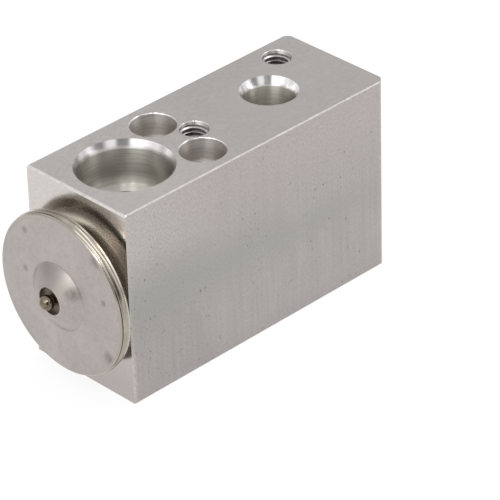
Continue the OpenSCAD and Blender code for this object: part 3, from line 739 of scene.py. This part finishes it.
weld_sunk = 0.02 * MM
rim_weld = grown("rim_weld", weld_tree(weld_finish()), radius=rim_radius - weld_sunk)
upright = Matrix.Rotation(math.radians(-90), 4, "Y") @ Matrix.Rotation(math.radians(-90), 4, "Z")
moved(rim_weld.data, Matrix.Translation((film_x, 0, axis_z)) @ upright)
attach(rim_weld, "block")


# Charge ball
# A steel ball, welded into the charging hole when the head has been filled. The heat of the weld
# has left it dark bronze.
def ball_finish():
    """Steel darkened by the heat of its weld."""
    finish, tree, shader = bare_metal("welded_ball", (0.15, 0.125, 0.1), 0.12)
    heat = noise(tree, (700, 700, 700), 2)
    colour = tint(tree, ramp(tree, heat, 0.35, 0.65), (0.11, 0.085, 0.055), (0.23, 0.19, 0.14))
    tree.links.new(colour, shader.inputs["Base Color"])
    return finish


dress("charge_ball", ball_finish())


# Diaphragm, stopper, rod and pin
# The diaphragm is a thin rolled sheet with two pressed waves. It pushes a turned stainless stopper,
# which holds the aluminium sensing rod; the hard steel pin is pressed into the rod's end.
def lathe_finish(name, dark, bright, roughness, rings_per_metre=2200):
    """Turned metal: fine rings along the valve axis and across its faces."""
    finish, tree, shader = bare_metal(name, bright, roughness)
    reach, around, along = axis_radius(tree)
    way = sums(tree, "MULTIPLY", sums(tree, "ADD", reach, along), rings_per_metre)
    rings = node(tree, "ShaderNodeTexNoise", {
        "Vector": joined(tree, way, sums(tree, "MULTIPLY", around, 0.6)),
        "Scale": 1.0, "Detail": 3.0}).outputs["Fac"]
    colour = tint(tree, ramp(tree, rings, 0.3, 0.7), dark, bright)
    tree.links.new(colour, shader.inputs["Base Color"])
    relief(tree, shader, rings, 0.003 * MM)
    return finish


turned_stainless = lathe_finish("turned_stainless", (0.42, 0.41, 0.39), (0.58, 0.57, 0.55), 0.28)
for name, finish in (
    ("diaphragm", lathe_finish("rolled_sheet", (0.5, 0.42, 0.25), (0.64, 0.56, 0.38), 0.25, 600)),
    ("diaphragm_stopper", turned_stainless),
    ("sensing_rod", lathe_finish("turned_aluminium", (0.66, 0.65, 0.63), (0.8, 0.79, 0.77), 0.3)),
    ("push_pin", lathe_finish("ground_pin", (0.5, 0.5, 0.5), (0.62, 0.62, 0.62), 0.16, 5200)),
    ("ball_carrier", turned_stainless),
):
    dress(name, finish)


# Seals and retainer
# Moulded rubber rings: under the power head, round the rod and on the adjusting screw. A pressed
# steel ring keeps the rod's seal in its pocket.
def rubber_finish():
    """Moulded green rubber with a faint bloom."""
    finish = bpy.data.materials.new("green_rubber")
    finish.use_nodes = True
    tree = finish.node_tree
    shader = tree.nodes["Principled BSDF"]
    bloom = noise(tree, (900, 900, 900), 3)
    colour = tint(tree, ramp(tree, bloom, 0.35, 0.7), (0.004, 0.1, 0.055), (0.012, 0.16, 0.09))
    tree.links.new(colour, shader.inputs["Base Color"])
    tree.links.new(ramp(tree, bloom, 0.3, 0.7, 0.42, 0.6), shader.inputs["Roughness"])
    relief(tree, shader, bloom, 0.01 * MM)
    return finish


green_rubber = rubber_finish()
for name in ("head_gasket", "pin_seal", "adjusting_screw_seal"):
    dress(name, green_rubber)


def sheet_finish(name, dark, bright, roughness):
    """Rolled spring sheet or drawn wire, with faint grain."""
    finish, tree, shader = bare_metal(name, bright, roughness)
    grain = noise(tree, (2600, 2600, 2600), 3)
    colour = tint(tree, ramp(tree, grain, 0.3, 0.7), dark, bright)
    tree.links.new(colour, shader.inputs["Base Color"])
    relief(tree, shader, grain, 0.002 * MM)
    return finish


dress("pin_seal_retainer", sheet_finish("pressed_ring", (0.4, 0.39, 0.37), (0.52, 0.51, 0.49), 0.3))


# Ball and damping spring
# The valve ball is polished bearing steel in a turned cup. A sprung sheet ring with six legs rubs
# along the chamber's wall, so that the valve doesn't chatter.
spring_steel = sheet_finish("spring_steel", (0.24, 0.24, 0.25), (0.36, 0.36, 0.37), 0.3)
dress("valve_ball", sheet_finish("polished_ball", (0.6, 0.6, 0.61), (0.68, 0.68, 0.69), 0.07))
dress("damping_spring", spring_steel)


# Coil spring
# Drawn spring wire, wound with its end turns close. It is modelled in two halves that meet at the
# middle: one runs from the ball's cup, the other from the adjusting screw.
def coil_tree(finish):
    """A stretch of the spring's wire, between the shares first and last of all its turns."""
    tree = bpy.data.node_groups.new("wound_spring", "GeometryNodeTree")
    size = measures(tree, coil_radius=3.6 * MM, wire_radius=0.45 * MM, turns=5.0, start=0.0,
                    span=7 * MM, closed=0.95 * MM, first=0.0, last=1.0)
    points, section_steps = 160, 14
    line = node(tree, "GeometryNodeCurvePrimitiveLine", {"Start": (0, 0, 0), "End": (1, 0, 0)})
    fine = node(tree, "GeometryNodeResampleCurve", {"Curve": line.outputs[0], "Count": points})
    share = sums(tree, "DIVIDE", node(tree, "GeometryNodeInputIndex").outputs[0], points - 1.0)
    share = sums(tree, "ADD", size["first"], sums(
        tree, "MULTIPLY", share, sums(tree, "SUBTRACT", size["last"], size["first"])))
    turn = sums(tree, "MULTIPLY", share, size["turns"])
    angle = sums(tree, "MULTIPLY", turn, 2 * math.pi)
    low = sums(tree, "MULTIPLY", turn, size["closed"])
    left = sums(tree, "SUBTRACT", size["turns"], turn)
    high = sums(tree, "SUBTRACT", size["span"], sums(tree, "MULTIPLY", left, size["closed"]))
    open_turns = sums(tree, "SUBTRACT", size["turns"], 2.0)
    open_span = sums(tree, "SUBTRACT", size["span"], sums(tree, "MULTIPLY", size["closed"], 2.0))
    open_pitch = sums(tree, "DIVIDE", open_span, open_turns)
    middle = sums(tree, "ADD", size["closed"], sums(
        tree, "MULTIPLY", sums(tree, "SUBTRACT", turn, 1.0), open_pitch))
    along = node(tree, "ShaderNodeMix", {
        0: sums(tree, "LESS_THAN", turn, 1.0), 2: middle, 3: low}).outputs[0]
    along = node(tree, "ShaderNodeMix", {
        0: sums(tree, "LESS_THAN", left, 1.0), 2: along, 3: high}).outputs[0]
    wound = node(tree, "GeometryNodeSetPosition", {
        "Geometry": fine.outputs[0],
        "Position": joined(tree, sums(tree, "ADD", size["start"], along),
                           *round_point(tree, size["coil_radius"], angle))})
    section = node(tree, "GeometryNodeCurvePrimitiveCircle", {
        "Resolution": section_steps, "Radius": size["wire_radius"]})
    wire = node(tree, "GeometryNodeCurveToMesh", {
        "Curve": wound.outputs[0], "Profile Curve": section.outputs[0], "Fill Caps": True})
    end_tree(tree, wire.outputs[0], finish)
    return tree


coil_low, coil_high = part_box("valve_spring")
wire_radius = 0.45 * MM
coil_radius = (coil_high.y - coil_low.y) / 2 - wire_radius
coil_span = coil_high.x - coil_low.x - 2 * wire_radius
winding = coil_tree(spring_steel)
left_end, right_end = coil_low.x + wire_radius, coil_high.x - wire_radius
middle_x = (left_end + right_end) / 2
for name, first, last, bodies, reach in (
        ("coil_spring", 0.0, 0.5, ("valve_stem", "block"), (left_end, middle_x)),
        ("coil_spring_screw_half", 0.5, 1.0, ("block", "screw_seal"), (middle_x, right_end))):
    half = grown(name, winding, coil_radius=coil_radius, wire_radius=wire_radius, start=left_end,
                 span=coil_span, first=first, last=last)
    moved(half.data, Matrix.Translation((0, 0, axis_z)))
    if name == "coil_spring":
        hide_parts("valve_spring")
    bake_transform(half)


# Adjusting screw
# A brass plug, turned from bar and screwed into the spring end of the block. A key in its hexagon
# socket turns it, which presses the spring more or less.
dress("adjusting_screw", lathe_finish("turned_brass", (0.62, 0.5, 0.24), (0.74, 0.62, 0.34), 0.28))


# Stage
# A wide, pale paper floor, on which the evaporator face of the block rests. The camera and the
# reflections in the metal see it almost white, and it keeps the valve's shadow.
def pale_floor():
    """Paper that the camera and the reflections see as light, and that takes shadows."""
    finish = bpy.data.materials.new("pale_floor")
    finish.use_nodes = True
    tree = finish.node_tree
    tree.nodes.clear()
    out = node(tree, "ShaderNodeOutputMaterial")
    paper = node(tree, "ShaderNodeBsdfDiffuse", {"Color": (0.92, 0.92, 0.92, 1)})
    white = node(tree, "ShaderNodeEmission", {"Color": (1, 1, 1, 1), "Strength": 1.03})
    path = node(tree, "ShaderNodeLightPath")
    away = node(tree, "ShaderNodeVectorMath", {0: place(tree)}, operation="LENGTH").outputs["Value"]
    paper_edge, paper_end, paper_white, beyond = 0.11, 0.19, 0.86, 0.5
    tabletop = ramp(tree, away, paper_edge, paper_end, paper_white, beyond)
    share = sums(tree, "MAXIMUM", sums(tree, "MULTIPLY", path.outputs["Is Camera Ray"], paper_white),
                 sums(tree, "MULTIPLY", path.outputs["Is Glossy Ray"], tabletop))
    mixed = node(tree, "ShaderNodeMixShader", {0: share, 1: paper.outputs[0], 2: white.outputs[0]})
    tree.links.new(mixed.outputs[0], out.inputs[0])
    return finish


floor_reach = 3.0
floor_mesh = bpy.data.meshes.new("floor")
floor_mesh.from_pydata(
    [(-floor_reach, -floor_reach, 0), (floor_reach, -floor_reach, 0),
     (floor_reach, floor_reach, 0), (-floor_reach, floor_reach, 0)], [], [(0, 1, 2, 3)])
floor_mesh.materials.append(pale_floor())
floor = put("floor", floor_mesh)


# Camera
# A long lens, above the valve and on its head's side. Its angles, its distance and its aim, which is
# measured from the block's lowest corner, were fitted to the block's edges and port mouths.
turn, rise, tilt = math.radians(-43.882), math.radians(32.23), math.radians(-1.683)
distance = 0.69387
aim_right, aim_up = 0.02296, 0.03085
back = Vector((math.sin(turn) * math.cos(rise), -math.cos(turn) * math.cos(rise), math.sin(rise)))
flat_right = Vector((math.cos(turn), math.sin(turn), 0))
flat_up = back.cross(flat_right)
right = math.cos(tilt) * flat_right + math.sin(tilt) * flat_up
up = math.cos(tilt) * flat_up - math.sin(tilt) * flat_right
lens = bpy.data.cameras.new("camera")
lens.sensor_width = 36
lens.lens = 251.65
lens.clip_start, lens.clip_end = 0.01, 20
camera = put("camera", lens)
eye = block_low + aim_right * right + aim_up * up + distance * back
camera.matrix_world = Matrix.Translation(eye) @ Matrix((right, up, back)).transposed().to_4x4()
bpy.context.scene.camera = camera


# Light tent
# Soft white cloth all round, with two dark gaps on the camera's side. Brighter panels stand before
# the head and beyond the spring end, small lamps hang over the camera, and the far side is dimmer.
tent = bpy.data.worlds.new("light_tent")
bpy.context.scene.world = tent
tent.use_nodes = True
tree = tent.node_tree
tree.nodes.clear()
where = node(tree, "ShaderNodeTexCoord")
way = node(tree, "ShaderNodeSeparateXYZ", {0: where.outputs["Generated"]})
heading = sums(tree, "ARCTAN2", way.outputs[1], way.outputs[0])
height = way.outputs[2]


def patch(middle_deg, half_deg, low, high, soft=0.08):
    """1 on a patch of the tent, round a heading and between two heights of the sky, and 0 outside it."""
    turned = sums(tree, "SUBTRACT", heading, math.radians(middle_deg))
    away = node(tree, "ShaderNodeMath", {0: turned, 1: math.pi, 2: -math.pi}, operation="WRAP").outputs[0]
    away = sums(tree, "ABSOLUTE", away, 0.0)
    side = ramp(tree, away, math.radians(half_deg) - soft, math.radians(half_deg) + soft, 1, 0)
    lower = ramp(tree, height, low - soft, low + soft)
    upper = ramp(tree, height, high - soft, high + soft, 1, 0)
    return sums(tree, "MULTIPLY", side, sums(tree, "MULTIPLY", lower, upper))


toward_camera = math.degrees(math.atan2(back.y, back.x))
white_cloth, dark_gap = 0.97, 0.12
gaps = sums(tree, "MAXIMUM", patch(toward_camera + 3, 15, -0.2, 0.66, 0.06),
            patch(toward_camera + 60, 17, -0.2, 0.5, 0.12))
small_lamps = sums(tree, "MAXIMUM", patch(toward_camera - 16, 7, 0.7, 0.86, 0.03),
                   patch(toward_camera + 8, 6, 0.7, 0.86, 0.03))
head_panel, head_lamp = patch(188, 24, 0.3, 0.82, 0.1), patch(184, 6, 0.5, 0.62, 0.03)
spring_end_panel, side_panel = patch(350, 36, 0.58, 0.87), patch(310, 12, 0.2, 0.6)
dim_side = patch(104, 34, -0.4, 0.3, 0.15)
tone = ramp(tree, gaps, 0, 1, white_cloth, dark_gap)
for shape, strength in ((head_panel, 0.9), (head_lamp, 2.5), (spring_end_panel, 2.9),
                        (small_lamps, 7.0), (side_panel, 0.6), (dim_side, -0.35)):
    tone = sums(tree, "ADD", tone, sums(tree, "MULTIPLY", shape, strength))
path = node(tree, "ShaderNodeLightPath")
seen = sums(tree, "MAXIMUM", tone, path.outputs["Is Camera Ray"])
sky = node(tree, "ShaderNodeBackground", {"Color": (1, 1, 1, 1), "Strength": seen})
tree.links.new(sky.outputs[0], node(tree, "ShaderNodeOutputWorld").inputs[0])

bpy.context.scene.view_settings.view_transform = "Standard"
